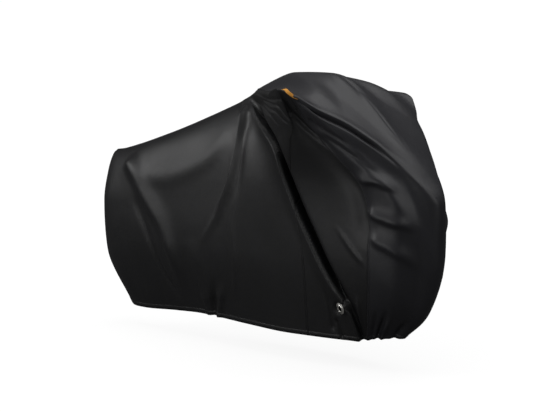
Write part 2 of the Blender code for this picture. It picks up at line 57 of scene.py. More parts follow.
# Sections of the right half: name, s, then (x, distance from the centre line, height over the ground)
# at the hem, belly, waist, flank, shoulder, crown and top line.
SECTIONS = (
    ("rear_centre", 0.00, (-.790, 0, .125), (-.908, 0, .328), (-.930, 0, .560), (-.922, 0, .680),
     (-.914, 0, .735), (-.903, 0, .765), (-.882, 0, .782)),
    ("rear_turn", 0.06, (-.738, .042, .094), (-.850, .092, .338), (-.865, .095, .560), (-.862, .070, .680),
     (-.855, .045, .745), (-.845, .022, .778), (-.830, 0, .790)),
    ("rear_side", 0.14, (-.640, .058, .092), (-.680, .130, .400), (-.700, .125, .570), (-.710, .100, .710),
     (-.715, .062, .785), (-.718, .030, .812), (-.720, 0, .820)),
    ("rear_belly", 0.24, (-.420, .070, .108), (-.430, .145, .420), (-.420, .140, .610), (-.420, .115, .770),
     (-.425, .072, .868), (-.428, .034, .905), (-.430, 0, .915)),
    ("hollow", 0.35, (-.220, .090, .120), (-.180, .160, .440), (-.060, .150, .700), (-.025, .125, .880),
     (-.035, .078, .985), (-.060, .034, 1.035), (-.090, 0, 1.046)),
    ("middle", 0.47, (.080, .125, .118), (.120, .180, .450), (.110, .175, .720), (.065, .142, .895),
     (.022, .093, .990), (-.018, .045, 1.041), (-.060, 0, 1.061)),
    ("pleat", 0.58, (.300, .140, .116), (.320, .185, .450), (.275, .190, .740), (.215, .168, .905),
     (.155, .130, .990), (.078, .070, 1.048), (-.035, 0, 1.073)),
    ("seam_rear", 0.68, (.450, .138, .119), (.465, .185, .450), (.405, .200, .780), (.466, .266, .985),
     (.432, .300, 1.095), (.215, .146, 1.090), (-.010, 0, 1.084)),
    ("seam_front", 0.82, (.735, .085, .124), (.810, .160, .458), (.783, .165, .745), (.565, .252, 1.012),
     (.503, .332, 1.158), (.235, .155, 1.125), (.020, 0, 1.102)),
    ("hood_side", 0.86, (.762, .062, .130), (.880, .145, .420), (.870, .155, .740), (.740, .200, .925),
     (.610, .258, 1.088), (.480, .150, 1.165), (.240, 0, 1.196)),
    ("front_side", 0.90, (.790, .045, .137), (.930, .120, .370), (.940, .138, .700), (.825, .150, .880),
     (.735, .182, 1.012), (.610, .110, 1.110), (.440, 0, 1.206)),
    ("front_turn", 0.95, (.842, .022, .139), (.966, .060, .308), (1.005, .080, .620), (.940, .085, .800),
     (.862, .104, .920), (.770, .060, 1.000), (.620, 0, 1.130)),
    ("front_centre", 1.00, (.868, 0, .142), (.988, 0, .255), (1.066, 0, .480), (1.066, 0, .705),
     (.985, 0, .815), (.905, 0, .895), (.800, 0, .985)),
)

# Where the left half hangs otherwise, the same levels without the top line.  Under the hood it stands a
# little further forward and lower.
LEFT_SECTIONS = {
    "pleat": ((.300, .140, .116), (.320, .185, .450), (.275, .188, .740), (.215, .163, .900),
              (.155, .125, .985), (.078, .066, 1.045)),
    "seam_rear": ((.450, .138, .115), (.465, .180, .450), (.430, .200, .760), (.500, .255, .945),
                  (.495, .285, 1.040), (.245, .138, 1.080)),
    "seam_front": ((.735, .085, .122), (.810, .160, .458), (.790, .170, .740), (.635, .262, .965),
                   (.585, .325, 1.103), (.280, .150, 1.126)),
    "hood_side": ((.762, .065, .130), (.880, .145, .420), (.870, .175, .720), (.745, .235, .890),
            (.655, .288, 1.042), (.495, .150, 1.166)),
    "front_side": ((.790, .060, .137), (.930, .135, .370), (.935, .160, .660), (.815, .195, .860),
                   (.745, .240, .970), (.625, .120, 1.090)),
    "front_turn": ((.830, .030, .142), (.958, .070, .300), (1.010, .085, .580), (.975, .095, .755),
                   (.880, .145, .862), (.775, .070, .985)),
}

# Folds of the right side: name, the (s, v) places the fold's line runs through, down or forward, the half
# widths on its front or upper side and on its rear or lower side, height (below 0 a trough) and lean of
# the crest toward the front, in millimetres, and the shares of its length over which it fades in and out.
RIGHT_FOLDS = (
    ("rear band", ((.133, .75), (.174, .595), (.206, .478), (.243, .312), (.286, .05)),
     (46, 26), 18, 0, (.10, .20)),
    ("band crease", ((.163, .555), (.180, .45), (.209, .245), (.231, .132), (.27, .03)),
     (12, 16), -8, 0, (.30, .20)),
    ("shoulder", ((.095, .80), (.157, .668), (.214, .600), (.290, .605), (.324, .682), (.337, .90)),
     (46, 44), 6, 0, (.20, .30)),
    ("bright ridge", ((.490, .93), (.468, .80), (.440, .69), (.402, .58), (.378, .46), (.372, .36),
                      (.338, .20)), (24, 12), 19, -4, (.15, .40)),
    ("beside ridge", ((.500, .84), (.470, .70), (.440, .58), (.420, .42)), (34, 26), -11, 0, (.30, .35)),
    ("soft upright", ((.425, .44), (.440, .22), (.438, .05)), (18, 18), 3, 0, (.35, .30)),
    ("low swell", ((.31, .30), (.36, .14), (.385, .04)), (60, 50), 7, 0, (.35, .20)),
    ("hem gather", ((.392, .15), (.386, .08), (.378, .0)), (11, 13), -12, 0, (.60, .0)),
    ("gather left", ((.350, .09), (.366, .0)), (10, 10), 7, 0, (.50, .0)),
    ("gather right", ((.412, .14), (.392, .0)), (12, 10), 9, 0, (.50, .0)),
    ("low crease left", ((.724, .178), (.734, .130), (.740, .070), (.743, .020)),
     (11, 10), -6, 0, (.40, .15)),
    ("low crease", ((.746, .072), (.753, .048), (.760, .0)), (7, 8), -8, 0, (.35, .05)),
    ("low ridge", ((.792, .16), (.800, .08), (.812, .0)), (10, 9), 8, 0, (.40, .05)),
    ("fan one", ((.556, .92), (.574, .838), (.606, .738), (.621, .668), (.649, .590)),
     (7, 6), -5, 0, (.15, .40)),
    ("fan two", ((.590, .935), (.614, .890), (.629, .825), (.641, .735), (.663, .680)),
     (7, 6), -6, 0, (.15, .40)),
    ("fan three", ((.622, .93), (.645, .82), (.666, .718), (.697, .675)), (7, 6), -6, 0, (.15, .35)),
    ("fan four", ((.650, .93), (.668, .82), (.686, .722), (.737, .665)), (7, 6), -6, 0, (.15, .35)),
    ("fan five", ((.680, .93), (.702, .83), (.722, .755), (.765, .690)), (8, 7), -5, 0, (.15, .35)),
    ("seam groove", ((.728, .79), (.770, .700), (.799, .675), (.814, .642), (.826, .615), (.832, .575)),
     (12, 10), -8, 0, (.25, .35)),
    ("seam ridge", ((.745, .74), (.780, .668), (.805, .625), (.815, .580)), (9, 14), 2, 0, (.30, .45)),
    ("hood lip", ((.826, .785), (.849, .784), (.869, .793), (.893, .803), (.913, .799), (.937, .791),
                  (.966, .752)), (26, 5), 9, 0, (.08, .20)),
    ("under the lip", ((.829, .771), (.849, .772), (.869, .781), (.893, .790), (.913, .786), (.937, .778),
                       (.966, .738)), (5, 9), -14, 0, (.08, .30)),
    ("shade fold one", ((.830, .700), (.839, .690), (.859, .690), (.879, .672)),
     (9, 14), -5, 0, (.15, .45)),
    ("shade fold two", ((.829, .668), (.837, .662), (.871, .668), (.909, .660)),
     (12, 12), 2, 0, (.30, .40)),
    ("shade fold three", ((.832, .655), (.849, .645), (.864, .630), (.883, .612), (.899, .592)),
     (12, 14), -6, 0, (.15, .45)),
    ("front fold one", ((.820, .550), (.837, .538), (.856, .548), (.876, .560), (.904, .570), (.940, .598)),
     (28, 12), 13, 0, (.24, .30)),
    ("front fold two", ((.817, .455), (.836, .435), (.870, .432), (.910, .458), (.955, .490)),
     (30, 13), 14, 0, (.24, .30)),
    ("front fold three", ((.818, .365), (.845, .352), (.869, .356), (.909, .372), (.979, .398)),
     (34, 16), 13, 0, (.24, .30)),
    ("side streak", ((.755, .385), (.785, .305), (.814, .250)), (10, 13), 5, 0, (.40, .30)),
    ("side hollow", ((.806, .62), (.814, .47), (.814, .30)), (36, 44), -15, 0, (.35, .35)),
    ("front pleat one", ((.852, .13), (.846, .0)), (10, 10), -8, 0, (.60, .0)),
    ("front pleat two", ((.885, .16), (.872, .0)), (12, 10), -11, 0, (.60, .0)),
    ("front pleat three", ((.905, .14), (.893, .0)), (10, 10), 8, 0, (.60, .0)),
    ("front pleat four", ((.955, .18), (.940, .0)), (14, 12), -11, 0, (.60, .0)),
)

# The deep pleat: the line of its lip from the top down, and its measures in millimetres.
PLEAT_LINE = ((.524, .945), (.552, .86), (.580, .785), (.604, .680), (.634, .560), (.667, .460),
              (.694, .350), (.713, .270), (.734, .198), (.753, .145), (.770, .100), (.784, .050),
              (.796, .0))
PLEAT_CREST = 12         # height of its lip
PLEAT_SLOPE = 26         # width of the slope up to the lip, on the rear side
PLEAT_LEAN = 15          # how far the lip leans forward over the wall
PLEAT_WALL = 7           # width of the wall in front of the lip
PLEAT_DEPTH = 60         # how far the wall drops
PLEAT_HOLLOW = 40        # width of the hollow in front of the wall
PLEAT_CALM = (30, 16)    # widths in front of the lip and behind it that other folds keep away from
PLEAT_CALM_END = (0.98, 0.10)             # share of the line up to which they do, and how softly that ends

# Shares of the pleat's line over which the lip and the hollow rise to their full size, the part of it
# that each then loses toward the hem, and the shares of the line where that starts and how long it takes.
LIP_COURSE = (0.10, 0.65, 0.70, 0.15)
HOLLOW_COURSE = (0.22, 0.62, 0.62, 0.20)

REAR_COLUMNS = (78, 104, 44)              # mesh columns up to the break, to the seam and over its bend
REAR_BREAK = 0.43        # s at which the closer columns start
FRONT_COLUMNS = 66       # of the front side panel
ROWS = ((0.0, SEAM_BEND, 122), (SEAM_BEND, SEAM_TIP, 26), (SEAM_TIP, 0.84, 42), (0.84, 1.0, 24))
LOW_ROWS = ROWS[0][2] + ROWS[1][2]        # mesh rows up to the tip of the front panel
CLOTH = 0.0012           # thickness of the cloth with its coating
MERGE = 0.00005          # points of neighbouring blocks that are nearer than this become one

UP_ROUND = 0.4           # share of the rounder slopes up a section
ALONG_ROUND = 0.5        # and along a level, where it fades out toward the top line
ALONG_FADE = (0.90, 0.12)                 # v at which it is gone, and the reach of v before that
TOP_SLOPE = (0.8, 1.2)   # how the cloth leaves the top line: along that line, and out to the side
CENTRE_SLOPE = 1.6       # how squarely it leaves the centre line at the rear and in front
CENTRE_TOP = 0.93        # and up to which v
ON_CENTRE = 0.0004       # a point nearer than this to the centre plane is on it
FOLD_STEPS = 28          # steps along a fold's line
PLEAT_STEPS = 60         # and along the pleat's
FOLD_ENDS = (0.12, 0.03, 0.02)            # reach of v at the top, s at the rear and s in front where
                                          # the folds die away
MM = 0.001
CRUMPLE = ((0.20, 0.0012), (0.06, 0.0004))     # size and height of the cloth's own unevenness
CRUMPLE_LENGTH = 2.2     # how much longer it is down the cloth than across
CRUMPLE_TOP = 0.08       # reach of v below the top line over which it fades


def smooth_step(x):
    x = np.clip(x, 0.0, 1.0)
    return x * x * (3 - 2 * x)


def slopes(x, y, smooth):
    """Slopes at the knots: the overshoot-free ones, mixed with a share of the rounder ones."""
    step = np.diff(x)[:, None]
    rise = np.diff(y, axis=0) / step
    plain = np.zeros_like(y)
    plain[0] = rise[0]
    plain[-1] = rise[-1]
    held = plain.copy()
    plain[1:-1] = (rise[:-1] * step[1:] + rise[1:] * step[:-1]) / (step[1:] + step[:-1])
    w1 = 2 * step[1:] + step[:-1]
    w2 = step[1:] + 2 * step[:-1]
    same = rise[:-1] * rise[1:] > 0
    low = np.where(same, rise[:-1], 1.0)
    high = np.where(same, rise[1:], 1.0)
    held[1:-1] = np.where(same, (w1 + w2) / (w1 / low + w2 / high), 0.0)
    return smooth * plain + (1 - smooth) * held


def curve(x, y, m, at):
    """The cubic through the knots (x, y) with slopes m."""
    i = np.clip(np.searchsorted(x, at, side="right") - 1, 0, len(x) - 2)
    h = (x[i + 1] - x[i])[:, None]
    t = (at - x[i])[:, None] / h
    return ((2 * t**3 - 3 * t**2 + 1) * y[i] + (t**3 - 2 * t**2 + t) * h * m[i]
            + (3 * t**2 - 2 * t**3) * y[i + 1] + (t**3 - t**2) * h * m[i + 1])


def drape(s, v, side):
    """Points for s[column, row] and v[row]; side is -1 on the right and +1 on the left."""
    levels = np.array(LEVELS)
    places = np.array([row[1] for row in SECTIONS])
    top_line = np.array([row[-1] for row in SECTIONS], dtype=float)
    along_top = slopes(places, top_line, 0.0)
    along_top /= np.linalg.norm(along_top, axis=1, keepdims=True)
    profiles = []
    for tangent, row in zip(along_top, SECTIONS):
        knots = list(row[2:])
        if side > 0 and row[0] in LEFT_SECTIONS:
            knots[:6] = LEFT_SECTIONS[row[0]]
        knots = np.array(knots, dtype=float)
        m = slopes(levels, knots, UP_ROUND)
        if knots[-2, 1] > 0:
            last = (knots[-1] - knots[-2]) / (levels[-1] - levels[-2])
            m[-1] = tangent * (last @ tangent) * TOP_SLOPE[0] + np.array((0.0, TOP_SLOPE[1] * last[1], 0.0))
        profiles.append(curve(levels, knots, m, v))
    profiles = np.array(profiles)
    points = np.zeros((*s.shape, 3))
    for j, height in enumerate(v):
        knots = profiles[:, j]
        rounder = float(smooth_step((ALONG_FADE[0] - height) / ALONG_FADE[1]))
        m = slopes(places, knots, ALONG_ROUND * rounder)
        if height < CENTRE_TOP:
            for end, inner in ((0, 1), (-1, -2)):
                across = CENTRE_SLOPE * (knots[end, 1] - knots[inner, 1]) / (places[end] - places[inner])
                m[end] = (0.0, across, 0.0)
        points[:, j] = curve(places, knots, m, s[:, j])
    points[..., 1] *= side
    return points - SUPPORT


def drape_out(s, v, side):
    """Outward normals of the bare drape, from its slopes either way."""
    along = drape(np.minimum(s + 0.002, 1.0), v, side) - drape(np.maximum(s - 0.002, 0.0), v, side)
    up = drape(s, np.minimum(v + 0.003, 1.0), side) - drape(s, np.maximum(v - 0.003, 0.0), side)
    normals = np.cross(along, up) * -side
    centre = np.abs(drape(s, v, side)[..., 1]) < ON_CENTRE
    normals[centre, 1] = 0.0
    length = np.linalg.norm(normals, axis=2, keepdims=True)
    return normals / np.maximum(length, 1e-12)


def fold_line(places, side, count):
    """The fold's line on the drape, as points in space and the share of its length at each."""
    places = np.array(places, dtype=float)
    knots = np.linspace(0.0, 1.0, len(places))
    t = np.linspace(0.0, 1.0, count)
    sv = curve(knots, places, slopes(knots, places, 1.0), t) if len(places) > 2 else (
        places[0] + (places[1] - places[0]) * t[:, None])
    sv = np.clip(sv, 0.0, 1.0)
    return np.array([drape(np.array([[a]]), np.array([b]), side)[0, 0] for a, b in sv]), t


def beside_line(points, normals, side, places, count=FOLD_STEPS):
    """For each point: its distance from a fold's line in mm, the line's share there, and if it is ahead."""
    line, along = fold_line(places, side, count)
    best = np.full(points.shape[:2], np.inf)
    t = np.zeros(points.shape[:2])
    ahead = np.zeros(points.shape[:2], dtype=bool)
    for k in range(len(line) - 1):
        run = line[k + 1] - line[k]
        share = np.clip(((points - line[k]) @ run) / (run @ run), 0.0, 1.0)
        offset = points - line[k] - share[..., None] * run
        away = np.linalg.norm(offset, axis=2)
        nearer = away < best
        best = np.where(nearer, away, best)
        t = np.where(nearer, along[k] + share * (along[1] - along[0]), t)
        ahead = np.where(nearer, (np.cross(run, offset) * normals).sum(axis=2) * -side > 0, ahead)
    return best * 1000, t, ahead


def fold_all(points, normals, s, v, side, folds):
    """Lays the folds on the drape: out along its normal, and forward where the crest leans."""
    moved = points.copy()
    calm = np.ones(points.shape[:2])
    if side < 0:
        distance, t, ahead = beside_line(points, normals, side, PLEAT_LINE, PLEAT_STEPS)
        beside = np.exp(-(distance / np.where(ahead, *PLEAT_CALM))**4)
        calm = 1 - beside * smooth_step((PLEAT_CALM_END[0] - t) / PLEAT_CALM_END[1])
    off_centre = smooth_step((1.0 - v[None, :]) / FOLD_ENDS[0]) * smooth_step(s / FOLD_ENDS[1])
    off_centre = off_centre * smooth_step((1.0 - s) / FOLD_ENDS[2])
    for name, places, half_widths, height, lean, fades in folds:
        distance, t, ahead = beside_line(points, normals, side, places)
        window = off_centre * calm
        if fades[0] > 0:
            window = window * smooth_step(t / fades[0])
        if fades[1] > 0:
            window = window * smooth_step((1.0 - t) / fades[1])
        shape = np.exp(-(distance / np.where(ahead, *half_widths))**2) * window
        moved += normals * (shape * height * MM)[..., None]
        moved[..., 0] += shape * lean * MM
    return moved


def course(t, rise, loss, start, length):
    """How much of its full size a form has along its line: it rises, holds, and loses a part of it."""
    return smooth_step(t / rise) * (1 - loss * smooth_step((t - start) / length))


def lay_pleat(moved, points, normals):
    """Adds the deep pleat of the right side: a lip on its rear side, and a wall down into its hollow."""
    distance, t, ahead = beside_line(points, normals, -1, PLEAT_LINE, PLEAT_STEPS)
    lip = np.exp(-(distance / np.where(ahead, PLEAT_WALL, PLEAT_SLOPE))**2) * course(t, *LIP_COURSE)
    wall = 1 - np.exp(-(distance / PLEAT_WALL)**2)
    hollow = wall * np.exp(-(distance / PLEAT_HOLLOW)**3) * course(t, *HOLLOW_COURSE) * ahead
    moved += normals * ((lip * PLEAT_CREST - hollow * PLEAT_DEPTH) * MM)[..., None]
    moved[..., 0] += lip * PLEAT_LEAN * MM
    return moved


def crumple(points, normals, v):
    """Adds the low unevenness that handled cloth keeps, longer down the cloth than across it."""
    flat = points.reshape(-1, 3)
    rise = np.zeros(len(flat))
    for size, height in CRUMPLE:
        scaled = flat / np.array((size, size, size * CRUMPLE_LENGTH))
        rise += height * np.array([noise.noise(Vector(place)) for place in scaled])
    rise = rise.reshape(points.shape[:2]) * smooth_step((1.0 - v[None, :]) / CRUMPLE_TOP)
    return points + normals * rise[..., None]


def seam_s(v):
    """s of the rear seam at height v: straight up, then forward to the tip of the front panel."""
    return SEAM_REAR + (SEAM_FRONT - SEAM_REAR) * smooth_step((v - SEAM_BEND) / (SEAM_TIP - SEAM_BEND))


def grid(s, v, side, folds):
    """A block of folded cloth: its points and its outward normals."""
    bare = drape(s, v, side)
    out = drape_out(s, v, side)
    folded = fold_all(bare, out, s, v, side, folds)
    if side < 0:
        folded = lay_pleat(folded, bare, out)
    points = crumple(folded, out, v)
    points[..., 1] = np.where(np.abs(bare[..., 1]) < ON_CENTRE, 0.0, points[..., 1])
    normals = np.cross(np.gradient(points, axis=0), np.gradient(points, axis=1)) * -side
    normals /= np.maximum(np.linalg.norm(normals, axis=2, keepdims=True), 1e-12)
    return points, normals


def all_rows():
    """v of every mesh row from the hem up, closer over the lip of the hood."""
    return np.concatenate([[0.0]] + [np.linspace(low, high, count + 1)[1:] for low, high, count in ROWS])


def side_blocks(side, folds):
    """One side as three blocks: the rear panel up to its seam, its part over the front panel's tip, and
    the front panel.  Where a block narrows to nothing, its normals are those of the next row."""
    v = all_rows()
    s = np.concatenate([np.linspace(0.0, REAR_BREAK, REAR_COLUMNS[0] + 1),
                        np.linspace(REAR_BREAK, SEAM_REAR, REAR_COLUMNS[1] + 1)[1:]])[:, None]
    rear = grid(s + np.zeros(len(v))[None, :], v, side, folds)
    high = v[ROWS[0][2]:]
    share = np.linspace(0.0, 1.0, REAR_COLUMNS[2] + 1)[:, None]
    reach = np.where(high < SEAM_TIP, seam_s(high), SEAM_FRONT)
    over = grid(SEAM_REAR + share * (reach - SEAM_REAR)[None, :], high, side, folds)
    over[1][:, 0] = over[1][:, 1]
    low = v[:LOW_ROWS + 1]
    share = np.linspace(0.0, 1.0, FRONT_COLUMNS + 1)[:, None]
    front = grid(seam_s(low)[None, :] + share * (SEAM_FRONT - seam_s(low))[None, :], low, side, folds)
    front[1][:, -1] = front[1][:, -2]
    return rear, over, front


def map_cloth(data, uvs):
    """Gives a mesh the UV map of its cloth, in metres."""
    layer = data.uv_layers.new(name="cloth")
    corner = np.array([uvs[loop.vertex_index] for loop in data.loops], dtype=float)
    layer.data.foreach_set("uv", corner.reshape(-1))


def cover_piece(name, data, material):
    """A finished mesh as a piece of the cover."""
    data.materials.append(material)
    data.shade_smooth()
    piece = bpy.data.objects.new(name, data)
    bpy.context.scene.collection.objects.link(piece)
    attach(piece, "root")
    return piece


def panel(name, blocks, sides, material, hole=None):
    """Blocks of points as one sheet of cloth, with a UV map in metres along and up the cloth."""
    verts = []
    faces = []
    uvs = []
    for points, side in zip(blocks, sides):
        columns, rows = points.shape[:2]
        start = len(verts)
        verts += [tuple(p) for p in points.reshape(-1, 3)]
        across = np.zeros((columns, rows))
        across[1:] = np.cumsum(np.linalg.norm(np.diff(points, axis=0), axis=2), axis=0)
        up = np.zeros((columns, rows))
        up[:, 1:] = np.cumsum(np.linalg.norm(np.diff(points, axis=1), axis=2), axis=1)
        uvs += list(zip(across.reshape(-1), up.reshape(-1)))
        for i in range(columns - 1):
            for j in range(rows - 1):
                a = start + i * rows + j
                face = (a, a + rows, a + rows + 1, a + 1)
                if hole is None or not hole(np.mean([verts[k] for k in face], axis=0)):
                    faces.append(face if side < 0 else face[::-1])
    data = bpy.data.meshes.new(name)
    data.from_pydata(verts, [], faces)
    map_cloth(data, uvs)
    mesh = bmesh.new()
    mesh.from_mesh(data)
    bmesh.ops.remove_doubles(mesh, verts=mesh.verts, dist=MERGE)
    bmesh.ops.delete(mesh, geom=[vert for vert in mesh.verts if not vert.link_faces], context="VERTS")
    mesh.to_mesh(data)
    mesh.free()
    piece = cover_piece(name, data, material)
    solid = piece.modifiers.new("cloth thickness", "SOLIDIFY")
    solid.thickness = CLOTH
    solid.offset = -1.0
    return piece


def linear(colour):
    """An sRGB hex colour as linear red, green, blue and alpha."""
    parts = [int(colour[k:k + 2], 16) / 255 for k in (1, 3, 5)]
    return (*[p / 12.92 if p <= 0.04045 else ((p + 0.055) / 1.055)**2.4 for p in parts], 1.0)


def add(tree, kind, values=(), links=(), **settings):
    """Adds a node: settings are its own options, values its input values, links its inputs' sources."""
    node = tree.nodes.new(kind)
    for option, value in settings.items():
        setattr(node, option, value)
    for socket, value in dict(values).items():
        node.inputs[socket].default_value = value
    for socket, source in dict(links).items():
        tree.links.new(source, node.inputs[socket])
    return node


def start_material(name):
    """A new material with a bare Principled shader."""
    made = bpy.data.materials.new(name)
    made.use_nodes = True
    return made, made.node_tree, made.node_tree.nodes["Principled BSDF"]


WAVE_METRE = 0.31416     # the scale at which a wave texture repeats once a metre


def coated_polyester(name, dark, light, roughness, thread=0.0009):
    """Woven polyester with a polyurethane coating behind it: near black, with a satin shine that spreads
    wide.  Its plain weave is drawn with a thread of 0.9 mm, coarser than real so that it shows, over
    patches of duller and brighter shine and small creases from handling."""
    made, tree, shader = start_material(name)
    place = add(tree, "ShaderNodeTexCoord")
    cloth = place.outputs["UV"]
    body = place.outputs["Object"]
    warp = add(tree, "ShaderNodeTexWave", {"Scale": WAVE_METRE / (2 * thread)}, {"Vector": cloth},
               wave_type="BANDS", bands_direction="X")
    weft = add(tree, "ShaderNodeTexWave", {"Scale": WAVE_METRE / (2 * thread)}, {"Vector": cloth},
               wave_type="BANDS", bands_direction="Y")
    weave = add(tree, "ShaderNodeMath", {}, {0: warp.outputs["Fac"], 1: weft.outputs["Fac"]},
                operation="MULTIPLY")
    patches = add(tree, "ShaderNodeTexNoise", {"Scale": 7.0, "Detail": 3.0, "Roughness": 0.55},
                  {"Vector": body})
    colour = add(tree, "ShaderNodeMix", {"A": linear(dark), "B": linear(light)},
                 {"Factor": patches.outputs["Fac"]}, data_type="RGBA")
    tree.links.new(colour.outputs["Result"], shader.inputs["Base Color"])
    sheen = add(tree, "ShaderNodeMapRange", {"To Min": roughness - 0.04, "To Max": roughness + 0.05},
                {"Value": patches.outputs["Fac"]})
    tree.links.new(sheen.outputs["Result"], shader.inputs["Roughness"])
    creases = add(tree, "ShaderNodeTexNoise",
                  {"Scale": 22.0, "Detail": 4.0, "Roughness": 0.5, "Distortion": 0.8}, {"Vector": body})
    low = add(tree, "ShaderNodeBump", {"Strength": 0.35, "Distance": 0.002},
              {"Height": creases.outputs["Fac"]})
    fine = add(tree, "ShaderNodeBump", {"Strength": 0.25, "Distance": 0.0002},
               {"Height": weave.outputs["Value"], "Normal": low.outputs["Normal"]})
    tree.links.new(fine.outputs["Normal"], shader.inputs["Normal"])
    shader.inputs["IOR"].default_value = 1.42
    return made


side_cloth = coated_polyester("coated polyester, sides", "#0f0f10", "#141416", 0.47)

# The eyelet is set in flat, stiffened cloth, so its place and tilt are read from the frame: the metal is
# a flat turned ring, thinnest along its own axis.
RING_HOLE = 0.0155       # radius cut in the cloth, inside the ring's flange
RING_GROUND = 0.0255     # radius of the flat ground round it
RING_BLEND = 0.010       # and how far the cloth takes to leave it
RING_REACH = 0.05        # only cloth nearer than this to the ring's plane is moved
ring_points = np.array([vert.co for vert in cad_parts["lock_eyelet"].data.vertices])
ring_centre = (ring_points.max(axis=0) + ring_points.min(axis=0)) / 2
ring_out = np.linalg.svd(ring_points - ring_points.mean(axis=0))[2][-1]
ring_out = ring_out * -np.sign(ring_out[1])


def lay_flat(points):
    """Lays the cloth round the eyelet in the ring's own plane."""
    offset = points - ring_centre
    depth = offset @ ring_out
    across = np.linalg.norm(offset - depth[..., None] * ring_out, axis=-1)
    near = smooth_step((RING_GROUND + RING_BLEND - across) / RING_BLEND) * (np.abs(depth) < RING_REACH)
    return points - ring_out * (depth * near)[..., None]


def in_ring_hole(place):
    return np.linalg.norm(place - ring_centre) < RING_HOLE


right_rear, right_over, right_front = side_blocks(-1, RIGHT_FOLDS)
right_front = (lay_flat(right_front[0]), right_front[1])
side_rear_right = panel("rear_side_right", [right_rear[0], right_over[0]], [-1, -1], side_cloth)
side_front_right = panel("front_side_right", [right_front[0]], [-1], side_cloth, in_ring_hole)
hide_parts("side_rear_right")
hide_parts("side_front_right", "eyelet_patch")

# ============================================================ lock eyelet
# A nickel-plated steel eyelet for the lock's cable: a thin flange with a rolled rim, turned over on the
# inside, pressed into the flat ground of the front side panel.
flat_offset = ring_points - ring_centre
ring_depth = flat_offset @ ring_out
ring_radius = np.linalg.norm(flat_offset - ring_depth[:, None] * ring_out, axis=1)
RING_INSIDE = float(ring_radius.min())
RING_OUTSIDE = float(ring_radius.max())
RING_FRONT = float(ring_depth.max())
RING_BACK = float(ring_depth.min())
RING_STEPS = 96
RING_BEAD = 0.0019       # radius of the rolled bead at the throat


def plated_steel(name):
    """Nickel plating on pressed steel: bright and slightly warm, duller in small worn spots."""
    made, tree, shader = start_material(name)
    place = add(tree, "ShaderNodeTexCoord")
    wear = add(tree, "ShaderNodeTexNoise", {"Scale": 140.0, "Detail": 3.0},
               {"Vector": place.outputs["Object"]})
    dull = add(tree, "ShaderNodeMapRange", {"To Min": 0.34, "To Max": 0.46}, {"Value": wear.outputs["Fac"]})
    tree.links.new(dull.outputs["Result"], shader.inputs["Roughness"])
    colour = add(tree, "ShaderNodeMix", {"A": linear("#f2f1ec"), "B": linear("#dddbd4")},
                 {"Factor": wear.outputs["Fac"]}, data_type="RGBA")
    tree.links.new(colour.outputs["Result"], shader.inputs["Base Color"])
    shader.inputs["Metallic"].default_value = 1.0
    return made


def turned_ring(name, profile, material):
    """A closed profile of (radius, height along the axis) turned round the eyelet's axis."""
    across = np.cross(ring_out, (0.0, 0.0, 1.0))
    across /= np.linalg.norm(across)
    up = np.cross(across, ring_out)
    mesh = bmesh.new()
    turns = []
    for k in range(RING_STEPS):
        angle = 2 * math.pi * k / RING_STEPS
        spoke = across * math.cos(angle) + up * math.sin(angle)
        turns.append([mesh.verts.new(ring_centre + spoke * r + ring_out * h) for r, h in profile])
    for here, there in zip(turns, turns[1:] + turns[:1]):
        for m in range(len(profile)):
            n = (m + 1) % len(profile)
            mesh.faces.new((here[m], here[n], there[n], there[m]))
    bmesh.ops.recalc_face_normals(mesh, faces=mesh.faces)
    data = bpy.data.meshes.new(name)
    mesh.to_mesh(data)
    mesh.free()
    return cover_piece(name, data, material)


def eyelet_profile():
    """Rolled bead at the throat, falling to a thin rim; the turned-over back lies flatter."""
    profile = []
    for k in range(9):
        a = math.pi * k / 8
        profile.append((RING_INSIDE + RING_BEAD * (1 - math.cos(a)),
                        RING_FRONT - RING_BEAD + RING_BEAD * math.sin(a)))
    profile.append((RING_OUTSIDE - 0.0030, 0.0016))
    profile.append((RING_OUTSIDE - 0.0006, 0.0014))
    profile.append((RING_OUTSIDE, 0.0007))
    profile.append((RING_OUTSIDE - 0.0008, 0.0002))
    profile.append((RING_INSIDE + 0.0030, 0.0002))
    profile.append((RING_INSIDE + 0.0026, RING_BACK + 0.0014))
    profile.append((RING_OUTSIDE - 0.0050, RING_BACK + 0.0012))
    profile.append((RING_OUTSIDE - 0.0046, RING_BACK + 0.0004))
    profile.append((RING_INSIDE + 0.0030, RING_BACK))
    profile.append((RING_INSIDE + 0.0008, RING_BACK + 0.0008))
    profile.append((RING_INSIDE, RING_BACK + 0.0022))
    return profile


nickel = plated_steel("nickel-plated steel")
eyelet = turned_ring("lock_eyelet_ring", eyelet_profile(), nickel)
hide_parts("lock_eyelet")

# ============================================================ pull loop
# A short loop of orange webbing with both ends sewn on the hood's lower edge, to hang the cover up by.
# It stands a little off the cloth in the middle, and its ends are folded narrower under the stitching.
LOOP_ROUTE = (            # middle of the webbing, as in the sections' tables, and which way it looks
    ((0.4621, -0.3051, 1.1559), (0.090, 0.282, 0.955)),
    ((0.4946, -0.3228, 1.1599), (0.130, 0.292, 0.948)),
    ((0.5164, -0.3322, 1.1596), (0.405, 0.092, 0.910)),
    ((0.5310, -0.3350, 1.1520), (0.536, -0.053, 0.843)),
    ((0.5414, -0.3287, 1.1429), (0.595, -0.077, 0.800)),
    ((0.5498, -0.3179, 1.1328), (0.616, -0.136, 0.776)),
    ((0.5603, -0.3067, 1.1248), (0.603, -0.247, 0.758)),
)
LOOP_TWIST = np.array((0.0, -1.7, 0.0))     # the bow turns its face outward
LOOP_WIDTH = 0.014
LOOP_THICK = 0.0022
LOOP_STEPS = 72
LOOP_END = 0.55          # share of its width at its folded ends


